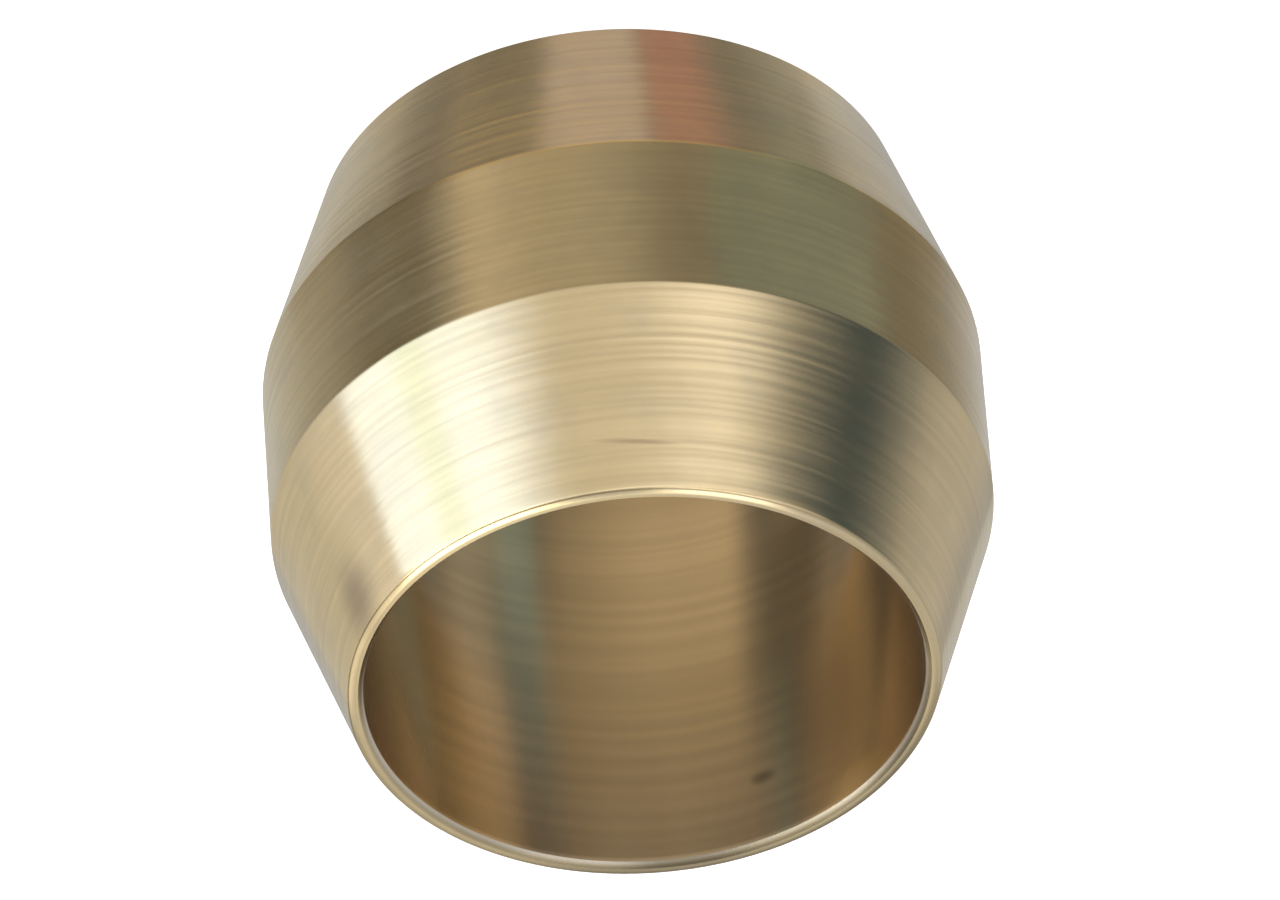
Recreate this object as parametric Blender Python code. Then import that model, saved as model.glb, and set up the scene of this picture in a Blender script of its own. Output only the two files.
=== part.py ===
"""Compression olive for a 6 mm tube, turned from brass bar as one ring.

Its section is a plain bore with a small lead-in at each mouth, a narrow flat
end face at each end, and two straight tapers that rise to a plain band round
the middle. The section is drawn once, at +X, and spun round the Z axis.

Lengths are in metres and +Z is up. The origin is the centre of the lower end
face, so the olive stands on that end.
"""

import math

import bmesh
import bpy
from mathutils import Matrix, Vector

# The tube that the olive grips, and the play that lets it slide on by hand.
TUBE_DIAMETER = 0.0060
TUBE_PLAY = 0.0001

# The section: overall length, width of the band, and the wall at the band and
# at the end faces. A wall is measured from the bore to the sharp corner.
LENGTH = 0.0067
BAND_WIDTH = 0.00203
BAND_WALL = 0.0009
END_WALL = 0.00017

# The edges: a soft crest where each taper meets the band, a small round on the
# outer edge of each end face, and a 45 degree lead-in at each mouth of the bore.
CREST_RADIUS = 0.00015
END_EDGE_RADIUS = 0.00008
LEAD_IN = 0.00006

# How finely the round forms are divided.
TURN_STEPS = 120
CREST_STEPS = 2
END_EDGE_STEPS = 4

# Edges that turn by more than this are drawn sharp: those of the lead-ins.
SHARP_EDGE_ANGLE = math.radians(22)

# The finish: plain turned brass, as a linear colour.
BRASS_COLOUR = (0.66, 0.52, 0.29, 1.0)
BRASS_ROUGHNESS = 0.28


def clear_scene():
    """Removes every object, so that only the olive is left at the end."""
    for scene_object in list(bpy.data.objects):
        bpy.data.objects.remove(scene_object, do_unlink=True)


def rounded_corner(before, corner, after, radius, steps):
    """The points of the arc of this radius that touches both sides of a corner."""
    towards_before = (before - corner).normalized()
    towards_after = (after - corner).normalized()
    half_angle = towards_before.angle(towards_after) / 2
    bisector = (towards_before + towards_after).normalized()
    centre = corner + bisector * (radius / math.sin(half_angle))
    first_arm = corner + towards_before * (radius / math.tan(half_angle)) - centre
    turn = math.copysign(math.pi - 2 * half_angle, towards_after.cross(towards_before))
    return [
        centre + Matrix.Rotation(turn * step / steps, 2) @ first_arm
        for step in range(steps + 1)
    ]


def olive_section():
    """The closed section at +X, as (radius, height) points.

    It runs down the outside from the upper end face, and back up the bore.
    """
    bore_radius = (TUBE_DIAMETER + TUBE_PLAY) / 2
    mouth_radius = bore_radius + LEAD_IN
    end_radius = bore_radius + END_WALL
    band_radius = bore_radius + BAND_WALL

    upper_mouth = Vector((mouth_radius, LENGTH))
    upper_end = Vector((end_radius, LENGTH))
    upper_crest = Vector((band_radius, (LENGTH + BAND_WIDTH) / 2))
    lower_crest = Vector((band_radius, (LENGTH - BAND_WIDTH) / 2))
    lower_end = Vector((end_radius, 0.0))
    lower_mouth = Vector((mouth_radius, 0.0))

    section = [upper_mouth]
    section += rounded_corner(upper_mouth, upper_end, upper_crest, END_EDGE_RADIUS, END_EDGE_STEPS)
    section += rounded_corner(upper_end, upper_crest, lower_crest, CREST_RADIUS, CREST_STEPS)
    section += rounded_corner(upper_crest, lower_crest, lower_end, CREST_RADIUS, CREST_STEPS)
    section += rounded_corner(lower_crest, lower_end, lower_mouth, END_EDGE_RADIUS, END_EDGE_STEPS)
    section += [
        lower_mouth,
        Vector((bore_radius, LEAD_IN)),
        Vector((bore_radius, LENGTH - LEAD_IN)),
    ]
    return section


def turned_mesh(name, section):
    """A closed mesh, made by spinning a closed section once round the Z axis."""
    shape = bmesh.new()
    corners = [shape.verts.new((point.x, 0.0, point.y)) for point in section]
    outline = [
        shape.edges.new((corners[index - 1], corner))
        for index, corner in enumerate(corners)
    ]
    bmesh.ops.spin(
        shape,
        geom=corners + outline,
        cent=(0.0, 0.0, 0.0),
        axis=(0.0, 0.0, 1.0),
        angle=2 * math.pi,
        steps=TURN_STEPS,
        use_merge=True,
    )
    bmesh.ops.recalc_face_normals(shape, faces=shape.faces)
    mesh = bpy.data.meshes.new(name)
    shape.to_mesh(mesh)
    shape.free()
    mesh.shade_smooth()
    mesh.set_sharp_from_angle(angle=SHARP_EDGE_ANGLE)
    return mesh


def brass():
    """Plain turned brass."""
    material = bpy.data.materials.new("brass")
    material.use_nodes = True
    shader = material.node_tree.nodes["Principled BSDF"]
    shader.inputs["Base Color"].default_value = BRASS_COLOUR
    shader.inputs["Metallic"].default_value = 1.0
    shader.inputs["Roughness"].default_value = BRASS_ROUGHNESS
    return material


def make_olive():
    """The whole olive, standing on its lower end face."""
    mesh = turned_mesh("olive", olive_section())
    mesh.materials.append(brass())
    olive = bpy.data.objects.new("olive", mesh)
    bpy.context.collection.objects.link(olive)


clear_scene()
make_olive()
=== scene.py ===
"""The looks of the compression olive: a turned brass ring that stands on its end on a pale floor."""

import itertools
import math
from collections import namedtuple

import bpy
from mathutils import Matrix, Vector, noise


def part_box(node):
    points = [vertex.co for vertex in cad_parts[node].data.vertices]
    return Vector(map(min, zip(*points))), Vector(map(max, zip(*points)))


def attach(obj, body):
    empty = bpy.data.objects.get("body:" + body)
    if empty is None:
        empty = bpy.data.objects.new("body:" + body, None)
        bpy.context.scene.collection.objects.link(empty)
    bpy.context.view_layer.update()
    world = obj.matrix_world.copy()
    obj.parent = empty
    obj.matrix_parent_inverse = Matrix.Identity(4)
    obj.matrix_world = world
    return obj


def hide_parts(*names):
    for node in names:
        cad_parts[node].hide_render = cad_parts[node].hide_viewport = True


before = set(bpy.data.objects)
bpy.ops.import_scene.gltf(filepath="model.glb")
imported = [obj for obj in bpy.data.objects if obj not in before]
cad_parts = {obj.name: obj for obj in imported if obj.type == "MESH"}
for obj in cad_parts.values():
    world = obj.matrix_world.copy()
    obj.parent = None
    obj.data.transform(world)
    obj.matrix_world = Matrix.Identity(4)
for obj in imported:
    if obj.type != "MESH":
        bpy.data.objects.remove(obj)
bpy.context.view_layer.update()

# The olive's sizes, in metres. Its length and its band's radius come from the solid itself.
low_corner, high_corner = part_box("olive")
LENGTH = high_corner.z - low_corner.z
BAND_RADIUS = (high_corner.x - low_corner.x) / 2
BORE_RADIUS = 0.00305
END_WALL = 0.00017
END_RADIUS = BORE_RADIUS + END_WALL
BAND_WIDTH = 0.00203
CREST_RADIUS = 0.00015
END_EDGE_RADIUS = 0.00008
LEAD_IN = 0.00006
MIDDLE = Vector((0.0, 0.0, LENGTH / 2))
TAPER_SLOPE = (BAND_RADIUS - END_RADIUS) / ((LENGTH - BAND_WIDTH) / 2)

# How finely the olive's surface is divided.
AROUND = 160
FLANK_STEP = 0.00002
BAND_STEP = 0.000022
BORE_STEP = 0.000045
ARC_STEPS = 6

# Edges that turn by more than this are drawn sharp: those of the lead-ins.
SHARP_EDGE_ANGLE = math.radians(22)

# The lathe's feed marks: how close the rings are, how fast they change round the
# axis compared with along it, and how deep they are, outside and in the bore. Of
# that depth one share is steady, and the other two come and go.
RING_SIZE = 0.00010
FINE_RING_SIZE = 0.00005
RING_STRETCH = 0.012
RING_DEPTH = 0.0000022
BORE_RING_DEPTH = 0.0000007
STEADY_SHARE = 0.6
COARSE_SHARE = 0.5
FINE_SHARE = 0.25

# How flat the surface lies, from 0 where it is upright to 1 on an end face: past this
# limit it has no rings, and they fade in over this much below it.
FLAT_LIMIT = 0.9
FLAT_FADE = 0.5

# The one clear scratch, on the upper taper: where it is (turn in degrees, height),
# its half length and half width, how it leans, and its depth.
SCRATCH_TURN = 1.6
SCRATCH_HEIGHT = 0.00614
SCRATCH_LENGTH = 0.0006
SCRATCH_WIDTH = 0.000045
SCRATCH_LEAN = 0.09
SCRATCH_DEPTH = 0.000002

# The spacing of the noises that the brass's finish follows: rings, lines and streaks
# along the tool's path, and wide patches and blotches. The streaks are shorter than
# the rings, and the lines are rougher.
WIDE_RING_SIZE = 0.00016
THIN_RING_SIZE = 0.00007
LINE_SIZE = 0.00006
LINE_JAGGEDNESS = 0.6
STREAK_SIZE = 0.00008
STREAK_STRETCH = 0.05
PATCH_SIZE = 0.0016
BLOTCH_SIZE = 0.0006

# The height of the tool marks that are too fine for the mesh, and the bore's share of it.
MARK_HEIGHT = 0.000003
BORE_MARK_SHARE = 0.6

# Roughness: in the smoothest and the dullest patches, what the lines add, and in the
# bore, and the values of the noises between which it changes. The tool marks spread
# reflections across them more than along them.
SMOOTH_ROUGHNESS = 0.18
DULL_ROUGHNESS = 0.215
LINE_ROUGHNESS = 0.05
BORE_ROUGHNESS = 0.22
ROUGH_PATCHES = (0.3, 0.7)
ROUGH_LINES = (0.45, 0.8)
ANISOTROPY = 0.75
QUARTER_TURN = 0.25

# The colours of the outside, as linear light: the brass in its two kinds of patch,
# the bottom of a tool mark, and tarnish. Between these values of its noise, one kind
# of patch gives way to the other, and one of the bore's rings to the next.
BRIGHT = (0.92, 0.735, 0.42, 1.0)
WARM = (0.87, 0.69, 0.385, 1.0)
GROOVE = (0.74, 0.59, 0.34, 1.0)
DULL = (0.70, 0.58, 0.37, 1.0)
COLOUR_CHANGE = (0.35, 0.65)

# What darkens the outside: the noise that it follows, the value of it where it starts
# and where it shows in full, the share it has there, and its colour.
OUTSIDE_STAINS = (
    ("lines", 0.5, 0.75, 0.5, GROOVE),
    ("streaks", 0.55, 0.8, 0.4, GROOVE),
    ("blotches", 0.45, 0.75, 0.4, DULL),
    ("thin_rings", 0.4, 0.65, 0.35, GROOVE),
)

# The colours of the bore: its wide rings, the painted shade low down, the painted light on its two sides,
# and the painted highlight along its rim.
BORE_PALE = (0.69, 0.58, 0.42, 1.0)
BORE_DARK = (0.63, 0.53, 0.385, 1.0)
BORE_FOOT_SHADE = (0.46, 0.37, 0.25, 1.0)
BORE_SIDE_LIGHT = (0.73, 0.64, 0.53, 1.0)
BORE_RIM_HIGHLIGHT = (0.98, 0.86, 0.66, 1.0)

# The heights between which the painted shade at the bore's foot fades out, and how strongly it shows.
FOOT_SHADE_HEIGHTS = (0.0008, 0.0024)
FOOT_SHADE_SHARE = 0.7

# How far to either side the painted light on the bore's walls starts and is whole, and how far
# below the end face the painted highlight along the rim starts and is whole, in widths of the lead-in.
SIDE_LIGHT_SPANS = (0.0021, 0.0028)
RIM_HIGHLIGHT_DEPTHS = (2.2, 1.2)

# The bore's finish gives way to the outside's between these shares of the lead-in's width.
FINISH_CHANGE = (0.2, 0.9)

# The marks: turn from the camera in degrees, height and radii in metres, how much of
# the radius is soft, how strongly it shows, and its colour.
Mark = namedtuple("Mark", "turn height radii soft share colour")
SMUDGE = Mark(-65.0, 0.00634, (0.0005, 0.0005, 0.0007), 0.95, 0.7, (0.38, 0.29, 0.20, 1.0))
# Painted shade: a darker patch on the lip.
LIP_SHADE = Mark(156.0, LENGTH, (0.0037, 0.0037, 0.0003), 0.6, 0.85, (0.40, 0.33, 0.21, 1.0))
BROWN_PATCH = Mark(139.0, 0.0053, (0.0009, 0.0009, 0.0017), 0.9, 1.0, (0.46, 0.38, 0.29, 1.0))
# A pale gold place just below the mouth, inside the bore.
PALE_GOLD_PLACE = Mark(132.0, LENGTH, (0.0007, 0.0007, 0.0006), 0.9, 1.0, (1.0, 0.85, 0.58, 1.0))
SPECK = Mark(156.7, 0.00578, (0.0002, 0.0002, 0.00012), 0.8, 0.6, (0.20, 0.16, 0.12, 1.0))
SCRATCH_STAIN = Mark(
    SCRATCH_TURN,
    SCRATCH_HEIGHT,
    (SCRATCH_LENGTH, SCRATCH_LENGTH, SCRATCH_WIDTH),
    0.9,
    0.5,
    (0.45, 0.32, 0.20, 1.0),
)

# The camera, as the photograph was taken: its angle to the olive's axis, how far the
# olive leans in the picture, how far off the camera is in radii of the band, and the
# band's radius and the place of the olive's middle in pixels.
AXIS_ANGLE = math.radians(49.07)
PICTURE_LEAN = math.radians(4.398)
CAMERA_DISTANCE = 50.13 * BAND_RADIUS
PICTURE_WIDTH = 1280
PICTURE_HEIGHT = 900
BAND_PIXELS = 361.15
PIXELS_PER_METRE = BAND_PIXELS / BAND_RADIUS
OLIVE_PIXEL = (627.29, 451.92)
SENSOR_WIDTH = 36.0
NEAREST_SEEN = 0.01
FARTHEST_SEEN = 10.0
TO_CAMERA = Vector((0.0, -math.sin(AXIS_ANGLE), math.cos(AXIS_ANGLE)))

# Reflectors stand about this far from the olive, all round it. The ones that are
# seen only through the bore hang below its lower mouth, this far from its axis. One
# that goes half round it hangs nearer, where the lower taper doesn't mirror it. Each
# is a little nearer than the one before.
STUDIO_RADIUS = 0.6
LAYER_GAP = 0.004
LINING_RADIUS = 0.010
LINING_GAP = 0.00003
NEAR_LINING_RADIUS = 0.0055
CARD_COLUMNS = 60
CARD_ROWS = 12
card_numbers = itertools.count(1)

# The floor's half width, its grey and its own glow, and the light from all round.
FLOOR_REACH = 3.0
FLOOR_GREY = 0.7
FLOOR_GLOW = 0.85
ROOM_GLOW = 0.4


def add_object(name, mesh):
    made = bpy.data.objects.new(name, mesh)
    bpy.context.scene.collection.objects.link(made)
    return made


# The camera.


def make_camera():
    """A long lens that looks down on the olive, rolled so that the upper mouth is at the picture's foot."""
    data = bpy.data.cameras.new("camera")
    data.sensor_fit = "HORIZONTAL"
    data.sensor_width = SENSOR_WIDTH
    data.lens = SENSOR_WIDTH * CAMERA_DISTANCE * PIXELS_PER_METRE / PICTURE_WIDTH
    data.clip_start = NEAREST_SEEN
    data.clip_end = FARTHEST_SEEN
    look = TO_CAMERA.to_track_quat("Z", "Y").to_matrix()
    turn = look @ Matrix.Rotation(math.pi - PICTURE_LEAN, 3, "Z")
    # The olive's middle is a little off the picture's middle, so the camera stands aside by as much.
    across = (PICTURE_WIDTH / 2 - OLIVE_PIXEL[0]) / PIXELS_PER_METRE
    upwards = (OLIVE_PIXEL[1] - PICTURE_HEIGHT / 2) / PIXELS_PER_METRE
    place = MIDDLE + TO_CAMERA * CAMERA_DISTANCE + turn @ Vector((across, upwards, 0.0))
    camera = add_object("camera", data)
    camera.matrix_world = Matrix.Translation(place) @ turn.to_4x4()
    bpy.context.scene.camera = camera


# The studio.


def smooth_step(value):
    """0 up to 0, 1 from 1 on, and a soft step between."""
    value = min(max(value, 0.0), 1.0)
    return value * value * (3 - 2 * value)


def fade(value, span, soft):
    """1 well inside the span, falling softly to 0 over these two lengths at its two ends."""
    rise = smooth_step((value - span[0]) / soft[0]) if soft[0] else 1.0
    fall = smooth_step((span[1] - value) / soft[1]) if soft[1] else 1.0
    return rise * fall


def level(turn):
    """The level direction that is turned this far, in degrees, from the camera towards picture right."""
    return Vector((-math.sin(math.radians(turn)), -math.cos(math.radians(turn)), 0.0))


def mirrored(across, tilt):
    """Where the surface that faces this way sends the camera's line of sight.

    across is the surface's turn round the axis, from the camera towards picture
    right, and tilt is its lean upwards from the horizon. Both are in degrees.
    """
    lean = math.radians(tilt)
    normal = level(across) * math.cos(lean) + Vector((0.0, 0.0, math.sin(lean)))
    return (2 * normal.dot(TO_CAMERA) * normal - TO_CAMERA).normalized()


def outside(across, tilt, layer):
    """Where a card belongs that the outside mirrors where it has this turn and tilt."""
    return MIDDLE + mirrored(across, tilt) * (STUDIO_RADIUS - LAYER_GAP * layer)


def in_bore(across, height, layer, bounces=1, lining=LINING_RADIUS):
    """Where a card belongs that the bore's far wall mirrors through the lower mouth.

    across is the wall's turn from straight opposite the camera, and height is in
    millimetres. The line of sight meets the bore's wall once, or as often as said.
    """
    fall = TO_CAMERA.z / math.hypot(TO_CAMERA.x, TO_CAMERA.y)
    depth_of_wall = BORE_RADIUS * math.cos(math.radians(across))
    turn = (180 + 2 * across) * (bounces - 1)
    on_wall = level(180 + across + turn) * BORE_RADIUS
    radius = lining - LINING_GAP * layer
    reach = depth_of_wall + math.sqrt(radius ** 2 - BORE_RADIUS ** 2 + depth_of_wall ** 2)
    drop = (2 * depth_of_wall * (bounces - 1) + reach) * fall
    return on_wall + level(2 * across + turn) * reach + Vector((0.0, 0.0, height / 1000 - drop))


def in_bore_twice(across, height, layer):
    """The same, close to the upper mouth, where the line of sight meets the wall twice."""
    return in_bore(across, height, layer, bounces=2)


def in_bore_twice_near(across, height, layer):
    """The same, for a card that hangs nearer to the axis."""
    return in_bore(across, height, layer, bounces=2, lining=NEAR_LINING_RADIUS)


def card(name, where, across, along, light, soft=(0, 0), soft_along=(0, 0), slant=0.0):
    """A bent reflector that one surface mirrors, over this range across it and along its row.

    It glows with one plain light, and thins out softly towards its edges. Its
    upright edges slant by so many degrees across for each unit along. Cards that
    are made later stand in front of the ones before.
    """
    number = next(card_numbers)
    middle = (along[0] + along[1]) / 2
    points = []
    cover = []
    for row in range(CARD_ROWS + 1):
        place = along[0] + (along[1] - along[0]) * row / CARD_ROWS
        for column in range(CARD_COLUMNS + 1):
            turn = across[0] + (across[1] - across[0]) * column / CARD_COLUMNS
            points.append(where(turn + slant * (place - middle), place, number))
            cover.append(fade(turn, across, soft) * fade(place, along, soft_along))
    faces = []
    for row in range(CARD_ROWS):
        for column in range(CARD_COLUMNS):
            corner = row * (CARD_COLUMNS + 1) + column
            faces.append((corner, corner + 1, corner + CARD_COLUMNS + 2, corner + CARD_COLUMNS + 1))
    mesh = bpy.data.meshes.new(name)
    mesh.from_pydata(points, [], faces)
    mesh.attributes.new("cover", "FLOAT", "POINT").data.foreach_set("value", cover)
    mesh.materials.append(card_glow(name, light))
    made = add_object(name, mesh)
    made.visible_camera = False
    made.visible_shadow = False


def card_glow(name, light):
    """A plain glow that lets what is behind it through where the card's cover is thin."""
    material = bpy.data.materials.new(name)
    material.use_nodes = True
    material.cycles.emission_sampling = "NONE"
    nodes = material.node_tree.nodes
    links = material.node_tree.links
    nodes.clear()
    glow = nodes.new("ShaderNodeEmission")
    glow.inputs["Color"].default_value = (*light, 1.0)
    clear = nodes.new("ShaderNodeBsdfTransparent")
    share = nodes.new("ShaderNodeAttribute")
    share.attribute_name = "cover"
    mix = nodes.new("ShaderNodeMixShader")
    out = nodes.new("ShaderNodeOutputMaterial")
    links.new(share.outputs["Fac"], mix.inputs["Fac"])
    links.new(clear.outputs["BSDF"], mix.inputs[1])
    links.new(glow.outputs["Emission"], mix.inputs[2])
    links.new(mix.outputs["Shader"], out.inputs["Surface"])
    return material


def make_floor():
    """A wide pale floor, bright enough to come out almost white."""
    corners = [(x * FLOOR_REACH, y * FLOOR_REACH, 0) for x, y in ((-1, -1), (1, -1), (1, 1), (-1, 1))]
    mesh = bpy.data.meshes.new("floor")
    mesh.from_pydata(corners, [], [(0, 1, 2, 3)])
    material = bpy.data.materials.new("floor")
    material.use_nodes = True
    shader = material.node_tree.nodes["Principled BSDF"]
    shader.inputs["Base Color"].default_value = (FLOOR_GREY, FLOOR_GREY, FLOOR_GREY, 1.0)
    shader.inputs["Roughness"].default_value = 1.0
    shader.inputs["Specular IOR Level"].default_value = 0.0
    shader.inputs["Emission Color"].default_value = (1.0, 1.0, 1.0, 1.0)
    shader.inputs["Emission Strength"].default_value = FLOOR_GLOW
    mesh.materials.append(material)
    floor = add_object("floor", mesh)
    floor.visible_glossy = False
    floor.visible_shadow = False
    floor.visible_diffuse = False


def make_world():
    """Even, soft light from all round, and plain white behind the floor."""
    world = bpy.data.worlds.new("studio")
    bpy.context.scene.world = world
    world.use_nodes = True
    nodes = world.node_tree.nodes
    links = world.node_tree.links
    around = nodes["Background"]
    around.inputs["Color"].default_value = (1.0, 1.0, 1.0, 1.0)
    around.inputs["Strength"].default_value = ROOM_GLOW
    behind = nodes.new("ShaderNodeBackground")
    behind.inputs["Color"].default_value = (1.0, 1.0, 1.0, 1.0)
    path = nodes.new("ShaderNodeLightPath")
    mix = nodes.new("ShaderNodeMixShader")
    links.new(path.outputs["Is Camera Ray"], mix.inputs["Fac"])
    links.new(around.outputs["Background"], mix.inputs[1])
    links.new(behind.outputs["Background"], mix.inputs[2])
    links.new(mix.outputs["Shader"], nodes["World Output"].inputs["Surface"])


def light_near_flank():
    """What the upper taper mirrors: a window on the left, a lamp behind it, a dark card on the right."""
    row = (9, 33)
    card("near_left_wall", outside, (-97, -40), row, (0.565, 0.565, 0.545))
    card("near_pale_wall", outside, (-72, -40), row, (0.75, 0.745, 0.80), soft=(18, 0))
    card("near_middle_wall", outside, (-52, 40), row, (0.665, 0.65, 0.645), soft=(2, 0))
    card(
        "window", outside, (-50.8, -8.5), row, (1.30, 1.55, 2.15),
        soft=(1.5, 18), soft_along=(6, 0), slant=0.3,
    )
    card("window_bar", outside, (-40, -30), row, (1.12, 1.38, 1.62), soft=(4, 4), slant=0.3)
    card(
        "lamp", outside, (-2.5, 28.5), row, (1.20, 1.20, 1.30),
        soft=(14, 11), soft_along=(12, 0), slant=-1.8,
    )
    card("dark_card", outside, (21, 86), row, (0.04, 0.065, 0.095), soft=(24, 0), slant=1.5)
    card("near_right_wall", outside, (44, 97), row, (0.49, 0.495, 0.52), soft=(26, 0), slant=0.5)
    card("near_right_edge", outside, (74, 97), row, (0.38, 0.39, 0.41), soft=(16, 0))


def light_band():
    """What the band mirrors: dull walls, paler in the middle and at both sides, and a greenish thing."""
    row = (-9, 9)
    card("band_wall", outside, (-90, 90), row, (0.19, 0.18, 0.155))
    card("band_gap", outside, (-56, -28), row, (0.12, 0.105, 0.075), soft=(16, 4))
    card("band_left", outside, (-90, -38), row, (0.54, 0.56, 0.57), soft=(0, 44))
    card("band_middle", outside, (-28, 13.5), row, (0.38, 0.355, 0.31), soft=(6, 17), slant=-0.6)
    card("band_light", outside, (-28, -9.5), row, (0.53, 0.475, 0.405), soft=(7, 12), slant=-0.6)
    card("band_cool", outside, (13, 50), row, (0.235, 0.275, 0.275), soft=(16, 8), slant=0.6)
    card("band_green", outside, (14, 31), row, (0.18, 0.222, 0.222), soft=(6, 10), slant=0.6)
    card("band_right", outside, (52, 90), row, (0.55, 0.57, 0.62), soft=(34, 0))


def light_far_flank():
    """What the lower taper mirrors: a pale card, and something red beside it."""
    row = (-32, -9)
    card("far_wall", outside, (-90, 90), row, (0.215, 0.207, 0.207))
    card("far_left", outside, (-90, -27), row, (0.53, 0.545, 0.555), soft=(0, 27))
    card("far_right", outside, (24, 90), row, (0.48, 0.505, 0.555), soft=(26, 0))
    card("far_shade", outside, (-27, -11), row, (0.185, 0.18, 0.175), soft=(6, 3))
    card("far_pale", outside, (-12, 7.6), row, (0.465, 0.425, 0.465), soft=(3.5, 2), slant=0.3)
    card("far_red", outside, (6.6, 23.1), row, (0.37, 0.225, 0.23), soft=(1.5, 9), slant=0.3)


def light_lip():
    """What the end face and its rounded edge mirror."""
    row = (33, 90)
    card("lip_wall", outside, (-97, 97), row, (0.53, 0.55, 0.62))
    card("lip_window", outside, (-52, -9), row, (3.4, 3.4, 3.2), soft=(3, 18), soft_along=(0, 8))
    card("lip_left", outside, (-97, -50), row, (0.95, 0.92, 0.90), soft=(12, 3))
    card("lip_lamp", outside, (2, 34), row, (1.9, 1.9, 2.0), soft=(10, 12), soft_along=(0, 8))
    card("lip_dark", outside, (30, 66), (33, 62), (0.22, 0.22, 0.22), soft=(8, 20), soft_along=(0, 18))


def light_lead_in():
    """What the lead-in mirrors on the far side of the mouth, where it faces the camera."""
    row = (37, 53)
    edge = (2.5, 2.5)
    card("lead_in_wall", outside, (-100, 100), row, (0.39, 0.40, 0.42), soft_along=edge)
    card("lead_in_side", outside, (-100, -52), row, (0.19, 0.19, 0.20), soft=(0, 14), soft_along=edge)
    card("lead_in_shade", outside, (-44, 8), row, (0.21, 0.20, 0.18), soft=(18, 9), soft_along=edge)


def light_bore():
    """What the bore mirrors: two dark stripes with a warm light between them, all paler deep in the bore."""
    once = (0.3, 6.2)
    deep = (0.3, 4.9)
    aside = (1.8, 6.2)
    wall = (0.26, 0.22, 0.16)
    card("bore_wall", in_bore, (-34, 34), once, wall)
    card("bore_left_wall", in_bore, (-46, -34), aside, wall)
    card("bore_right_wall", in_bore, (34, 46), aside, wall)
    card(
        "bore_pale_deep", in_bore, (28, 46), (1.8, 4.9), (0.80, 0.72, 0.51),
        soft=(9, 6), soft_along=(0, 4.5),
    )
    card("bore_gold", in_bore, (-24, 26), once, (0.365, 0.285, 0.16), soft=(4, 9), slant=0.6)
    card(
        "bore_gold_deep", in_bore, (-28, 24), deep, (1.30, 1.02, 0.60),
        soft=(5, 30), soft_along=(0, 5.2), slant=0.6,
    )
    card("bore_olive_stripe", in_bore, (-43, -24), aside, (0.12, 0.095, 0.063), soft=(6, 3), slant=2.6)
    card(
        "bore_olive_high", in_bore, (-34, -18), (3.2, 6.2), (0.09, 0.07, 0.04),
        soft=(8, 5), soft_along=(2, 0), slant=1.5,
    )
    card("bore_teal_stripe", in_bore, (19, 32), once, (0.025, 0.04, 0.03), soft=(3, 5), slant=0.9)
    card(
        "bore_teal_deep", in_bore, (19, 35), deep, (0.72, 0.93, 0.83),
        soft=(4, 8), soft_along=(0, 4.2), slant=0.6,
    )
    card("mouth_gold", in_bore_twice_near, (-24, 22), (5.0, 6.8), (0.50, 0.40, 0.26), soft=(6, 4))
    card(
        "mouth_olive", in_bore_twice, (-34, -19), (4.3, 6.1), (0.07, 0.055, 0.03),
        soft=(4, 5), soft_along=(0, 0.6),
    )
    card("mouth_teal", in_bore_twice, (22, 30.5), (4.4, 6.5), (0.02, 0.02, 0.01), soft=(3, 3))


# The olive's shape.


def rounded_corner(before, corner, after, radius, steps):
    """The points of the arc of this radius that touches both sides of a corner."""
    towards_before = (before - corner).normalized()
    towards_after = (after - corner).normalized()
    half_angle = towards_before.angle(towards_after) / 2
    bisector = (towards_before + towards_after).normalized()
    centre = corner + bisector * (radius / math.sin(half_angle))
    first_arm = corner + towards_before * (radius / math.tan(half_angle)) - centre
    turn = math.copysign(math.pi - 2 * half_angle, towards_after.cross(towards_before))
    return [centre + Matrix.Rotation(turn * step / steps, 2) @ first_arm for step in range(steps + 1)]


def run(start, end, step):
    """Points along a straight side, without its two ends."""
    count = max(1, round((end - start).length / step))
    return [start.lerp(end, index / count) for index in range(1, count)]


def fine_section():
    """The closed section at +X, as (radius, height) points close together."""
    mouth = BORE_RADIUS + LEAD_IN
    crest_height = BAND_WIDTH / 2
    half = LENGTH / 2
    upper_mouth = Vector((mouth, half))
    upper_end = Vector((END_RADIUS, half))
    upper_crest = Vector((BAND_RADIUS, crest_height))
    lower_crest = Vector((BAND_RADIUS, -crest_height))
    lower_end = Vector((END_RADIUS, -half))
    lower_mouth = Vector((mouth, -half))
    bore_top = Vector((BORE_RADIUS, half - LEAD_IN))
    bore_foot = Vector((BORE_RADIUS, LEAD_IN - half))

    upper_edge = rounded_corner(upper_mouth, upper_end, upper_crest, END_EDGE_RADIUS, ARC_STEPS)
    upper_bend = rounded_corner(upper_end, upper_crest, lower_crest, CREST_RADIUS, ARC_STEPS)
    lower_bend = rounded_corner(upper_crest, lower_crest, lower_end, CREST_RADIUS, ARC_STEPS)
    lower_edge = rounded_corner(lower_crest, lower_end, lower_mouth, END_EDGE_RADIUS, ARC_STEPS)

    section = [upper_mouth] + run(upper_mouth, upper_edge[0], FLANK_STEP)
    section += upper_edge + run(upper_edge[-1], upper_bend[0], FLANK_STEP)
    section += upper_bend + run(upper_bend[-1], lower_bend[0], BAND_STEP)
    section += lower_bend + run(lower_bend[-1], lower_edge[0], FLANK_STEP)
    section += lower_edge + run(lower_edge[-1], lower_mouth, FLANK_STEP)
    section += [lower_mouth] + run(lower_mouth, bore_foot, FLANK_STEP)
    section += [bore_foot] + run(bore_foot, bore_top, BORE_STEP)
    section += [bore_top] + run(bore_top, upper_mouth, FLANK_STEP)
    return [Vector((point.x, point.y + half)) for point in section]


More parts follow.
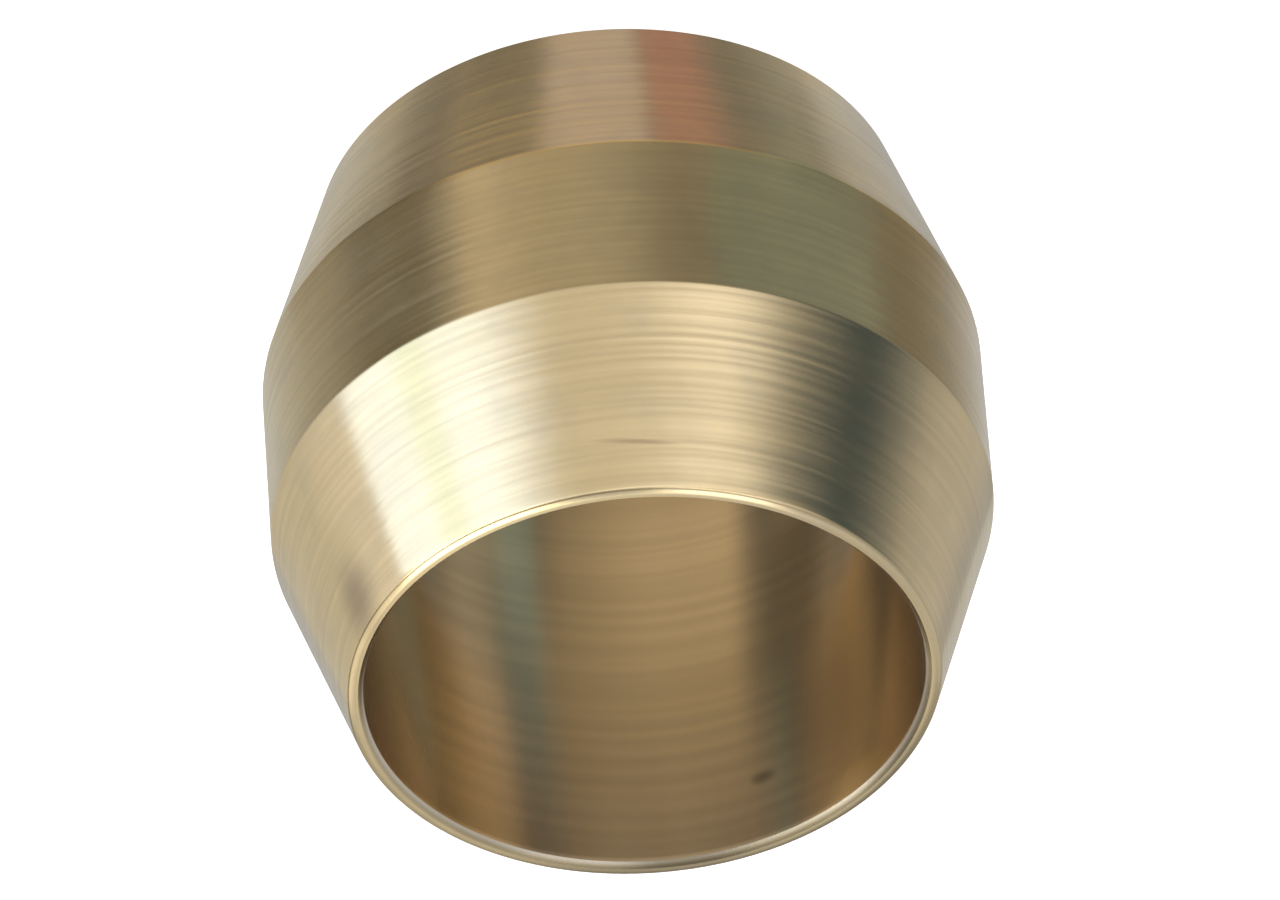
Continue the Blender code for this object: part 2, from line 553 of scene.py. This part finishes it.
def surface_point(across, height):
    """The point of the outside that is turned this far from the camera, at this height."""
    past_band = max(abs(height - LENGTH / 2) - BAND_WIDTH / 2, 0.0)
    return level(across) * (BAND_RADIUS - past_band * TAPER_SLOPE) + Vector((0.0, 0.0, height))


def bore_point(across, height):
    """The point of the bore that is turned this far from the camera, at this height."""
    return level(across) * BORE_RADIUS + Vector((0.0, 0.0, height))


def ring_depth(point):
    """How deep the lathe's rings are at this point: they come and go slowly round the axis."""
    inside = math.hypot(point.x, point.y) < BORE_RADIUS + LEAD_IN / 2
    depth = BORE_RING_DEPTH if inside else RING_DEPTH
    place = Vector((point.x * RING_STRETCH, point.y * RING_STRETCH, point.z))
    coarse = noise.noise(place / RING_SIZE)
    fine = noise.noise(place / FINE_RING_SIZE)
    return depth * (STEADY_SHARE + COARSE_SHARE * coarse + FINE_SHARE * fine)


def scratch_depth(point):
    """How deep the scratch is at this point."""
    offset = point - surface_point(SCRATCH_TURN, SCRATCH_HEIGHT)
    if offset.length > SCRATCH_LENGTH:
        return 0.0
    along = offset.x * math.cos(SCRATCH_LEAN) - offset.z * math.sin(SCRATCH_LEAN)
    aside = offset.x * math.sin(SCRATCH_LEAN) + offset.z * math.cos(SCRATCH_LEAN)
    return SCRATCH_DEPTH * smooth_step(1 - math.hypot(along / SCRATCH_LENGTH, aside / SCRATCH_WIDTH))


def make_olive():
    """The olive's fine surface, spun from its section, with the lathe's rings and a scratch cut into it."""
    section = fine_section()
    rings = len(section)
    points = []
    for place in range(AROUND):
        turn = 2 * math.pi * place / AROUND
        level_out = Vector((math.cos(turn), math.sin(turn), 0.0))
        for ring, spot in enumerate(section):
            along = (section[(ring + 1) % rings] - section[ring - 1]).normalized()
            out = level_out * -along.y + Vector((0.0, 0.0, along.x))
            point = level_out * spot.x + Vector((0.0, 0.0, spot.y))
            # The end faces stay flat, and the rings fade out on the edges beside them.
            turned = smooth_step((FLAT_LIMIT - abs(along.x)) / FLAT_FADE)
            points.append(point - out * (turned * ring_depth(point) + scratch_depth(point)))
    faces = []
    for place in range(AROUND):
        here = place * rings
        there = (place + 1) % AROUND * rings
        for ring in range(rings):
            following = (ring + 1) % rings
            faces.append((here + ring, here + following, there + following, there + ring))
    mesh = bpy.data.meshes.new("olive_turned")
    mesh.from_pydata(points, [], faces)
    mesh.shade_smooth()
    mesh.set_sharp_from_angle(angle=SHARP_EDGE_ANGLE)
    mesh.materials.append(turned_brass())
    olive = add_object("olive_turned", mesh)
    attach(olive, "root")
    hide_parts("olive")


# The olive's finish.


class NodeKit:
    """A material's nodes, with a short call for each kind that is used here."""

    # The Mix node's sockets for two colours and their blend, whose names aren't their own.
    FIRST_COLOUR = 6
    SECOND_COLOUR = 7
    BLENDED_COLOUR = 2

    def __init__(self, name):
        self.material = bpy.data.materials.new(name)
        self.material.use_nodes = True
        self.nodes = self.material.node_tree.nodes
        self.links = self.material.node_tree.links
        self.shader = self.nodes["Principled BSDF"]

    def add(self, kind, inputs, output=0, **settings):
        """Makes a node with these settings and inputs, and returns one of its outputs."""
        made = self.nodes.new("ShaderNode" + kind)
        for name, value in settings.items():
            setattr(made, name, value)
        for key, value in inputs.items():
            if isinstance(value, bpy.types.NodeSocket):
                self.links.new(value, made.inputs[key])
            else:
                made.inputs[key].default_value = value
        return made.outputs[output]

    def math(self, operation, first, second=0.0):
        return self.add("Math", {0: first, 1: second}, operation=operation)

    def times(self, first, second):
        return self.math("MULTIPLY", first, second)

    def noise(self, vector, size, detail=2.0, roughness=0.5, depth=None):
        """Smooth noise from 0 to 1 whose features are about this size, in metres."""
        inputs = {"Vector": vector, "Scale": 1 / size, "Detail": detail, "Roughness": roughness}
        if depth is None:
            return self.add("TexNoise", inputs)
        inputs["W"] = depth
        return self.add("TexNoise", inputs, noise_dimensions="4D")

    def spread(self, value, low, high, start=0.0, end=1.0):
        """start where the value is low, end where it is high, and a soft step between."""
        inputs = {"Value": value, "From Min": low, "From Max": high, "To Min": start, "To Max": end}
        return self.add("MapRange", inputs, interpolation_type="SMOOTHSTEP")

    def blend(self, share, first, second):
        """The first colour, with this share of the second."""
        inputs = {"Factor": share, self.FIRST_COLOUR: first, self.SECOND_COLOUR: second}
        return self.add("Mix", inputs, output=self.BLENDED_COLOUR, data_type="RGBA")

    def length(self, vector):
        return self.add("VectorMath", {0: vector}, output="Value", operation="LENGTH")

    def scaled(self, vector, scale):
        return self.add("VectorMath", {0: vector, 1: scale}, operation="MULTIPLY")

    def spot(self, place, centre, radii, soft, lean=0.0):
        """1 inside an oval of these radii, and 0 outside it."""
        inputs = {"Vector": place, "Location": centre, "Rotation": (0.0, lean, 0.0), "Scale": radii}
        inside = self.add("Mapping", inputs, vector_type="TEXTURE")
        return self.spread(self.length(inside), 1 - soft, 1.0, 1.0, 0.0)

    def marked(self, colour, place, mark, point, within=1.0, lean=0.0):
        """The colour, with this mark over it; point gives a place on the mark's surface."""
        amount = self.spot(place, point(mark.turn, mark.height), mark.radii, mark.soft, lean)
        return self.blend(self.times(self.times(amount, within), mark.share), colour, mark.colour)


def finish_noises(kit, place, radius):
    """The noises that the finish follows, by name. Tool marks change slowly round the axis."""
    long = kit.scaled(place, (RING_STRETCH, RING_STRETCH, 1.0))
    short = kit.scaled(place, (STREAK_STRETCH, STREAK_STRETCH, 1.0))
    return {
        "wide_rings": kit.noise(long, WIDE_RING_SIZE, detail=1.0, depth=radius),
        "thin_rings": kit.noise(long, THIN_RING_SIZE, detail=0.0, depth=radius),
        "lines": kit.noise(long, LINE_SIZE, roughness=LINE_JAGGEDNESS, depth=radius),
        "streaks": kit.noise(short, STREAK_SIZE, detail=1.0, depth=radius),
        "patches": kit.noise(place, PATCH_SIZE),
        "blotches": kit.noise(place, BLOTCH_SIZE),
    }


def outside_colour(kit, noises, share):
    """Bright brass in warmer patches, with darker tool marks and a light tarnish in blotches."""
    colour = kit.blend(kit.spread(noises["patches"], *COLOUR_CHANGE), BRIGHT, WARM)
    for name, faint, full, most, stain in OUTSIDE_STAINS:
        amount = kit.spread(noises[name], faint, full, 0.0, most)
        colour = kit.blend(kit.times(amount, share), colour, stain)
    return colour


def bore_colour(kit, noises, place, share):
    """Duller, browner brass with wide soft rings, darker at its foot with painted shade.

    It has painted light, paler and greyer, on its two sides, a brown patch, a pale gold place
    below the mouth, and a painted highlight along its rim.
    """
    x = kit.add("SeparateXYZ", {"Vector": place}, output="X")
    z = kit.add("SeparateXYZ", {"Vector": place}, output="Z")
    # Painted shade, darker towards the bore's foot.
    low = kit.times(share, kit.spread(z, *FOOT_SHADE_HEIGHTS, 1.0, 0.0))
    # Painted light: a paler, greyer colour on the bore's walls to either side.
    side_light = kit.times(kit.spread(kit.math("ABSOLUTE", x), *SIDE_LIGHT_SPANS), share)
    # A painted highlight along the bore's rim, just below the lead-in.
    rim_highlight_heights = [LENGTH - depth * LEAD_IN for depth in RIM_HIGHLIGHT_DEPTHS]
    rim = kit.times(kit.spread(z, *rim_highlight_heights), share)
    colour = kit.blend(kit.spread(noises["wide_rings"], *COLOUR_CHANGE), BORE_PALE, BORE_DARK)
    colour = kit.blend(kit.times(low, FOOT_SHADE_SHARE), colour, BORE_FOOT_SHADE)
    colour = kit.blend(side_light, colour, BORE_SIDE_LIGHT)
    colour = kit.marked(colour, place, BROWN_PATCH, bore_point)
    # A pale gold place below the mouth.
    colour = kit.marked(colour, place, PALE_GOLD_PLACE, bore_point)
    return kit.blend(rim, colour, BORE_RIM_HIGHLIGHT)


def turned_brass():
    """Brass as the lathe left it: fine rings round the axis, a light tarnish and a few marks, with painted
    shade and painted light in the bore and on the lip.
    """
    kit = NodeKit("turned_brass")
    place = kit.add("TexCoord", {}, output="Object")
    radius = kit.length(kit.scaled(place, (1.0, 1.0, 0.0)))
    change_radii = [BORE_RADIUS + share * LEAD_IN for share in FINISH_CHANGE]
    in_bore_share = kit.spread(radius, *change_radii, 1.0, 0.0)
    outside_share = kit.math("SUBTRACT", 1.0, in_bore_share)
    noises = finish_noises(kit, place, radius)

    colour = outside_colour(kit, noises, outside_share)
    colour = kit.blend(in_bore_share, colour, bore_colour(kit, noises, place, in_bore_share))
    # Painted shade: a darker patch on the lip.
    colour = kit.marked(colour, place, LIP_SHADE, bore_point, within=outside_share)
    colour = kit.marked(colour, place, SMUDGE, surface_point)
    colour = kit.marked(colour, place, SCRATCH_STAIN, surface_point, lean=SCRATCH_LEAN)
    colour = kit.marked(colour, place, SPECK, bore_point)
    kit.links.new(colour, kit.shader.inputs["Base Color"])

    roughness = kit.spread(noises["patches"], *ROUGH_PATCHES, SMOOTH_ROUGHNESS, DULL_ROUGHNESS)
    line_roughness = kit.spread(noises["lines"], *ROUGH_LINES, 0.0, LINE_ROUGHNESS)
    roughness = kit.math("ADD", roughness, line_roughness)
    roughness = kit.times(roughness, outside_share)
    roughness = kit.math("ADD", roughness, kit.times(in_bore_share, BORE_ROUGHNESS))
    kit.links.new(roughness, kit.shader.inputs["Roughness"])

    wide_share = kit.spread(in_bore_share, 0.0, 1.0, 1.0, BORE_MARK_SHARE)
    wide_height = kit.times(noises["wide_rings"], wide_share)
    height = kit.math("ADD", wide_height, kit.times(noises["thin_rings"], outside_share))
    bump = kit.add("Bump", {"Height": height, "Distance": MARK_HEIGHT, "Strength": 1.0})
    kit.links.new(bump, kit.shader.inputs["Normal"])

    tangent = kit.add("Tangent", {}, direction_type="RADIAL", axis="Z")
    kit.links.new(tangent, kit.shader.inputs["Tangent"])
    kit.shader.inputs["Metallic"].default_value = 1.0
    kit.shader.inputs["Anisotropic"].default_value = ANISOTROPY
    kit.shader.inputs["Anisotropic Rotation"].default_value = QUARTER_TURN
    return kit.material


make_camera()
make_floor()
make_world()
light_near_flank()
light_band()
light_far_flank()
light_lip()
light_lead_in()
light_bore()
make_olive()
bpy.context.scene.view_settings.view_transform = "Standard"
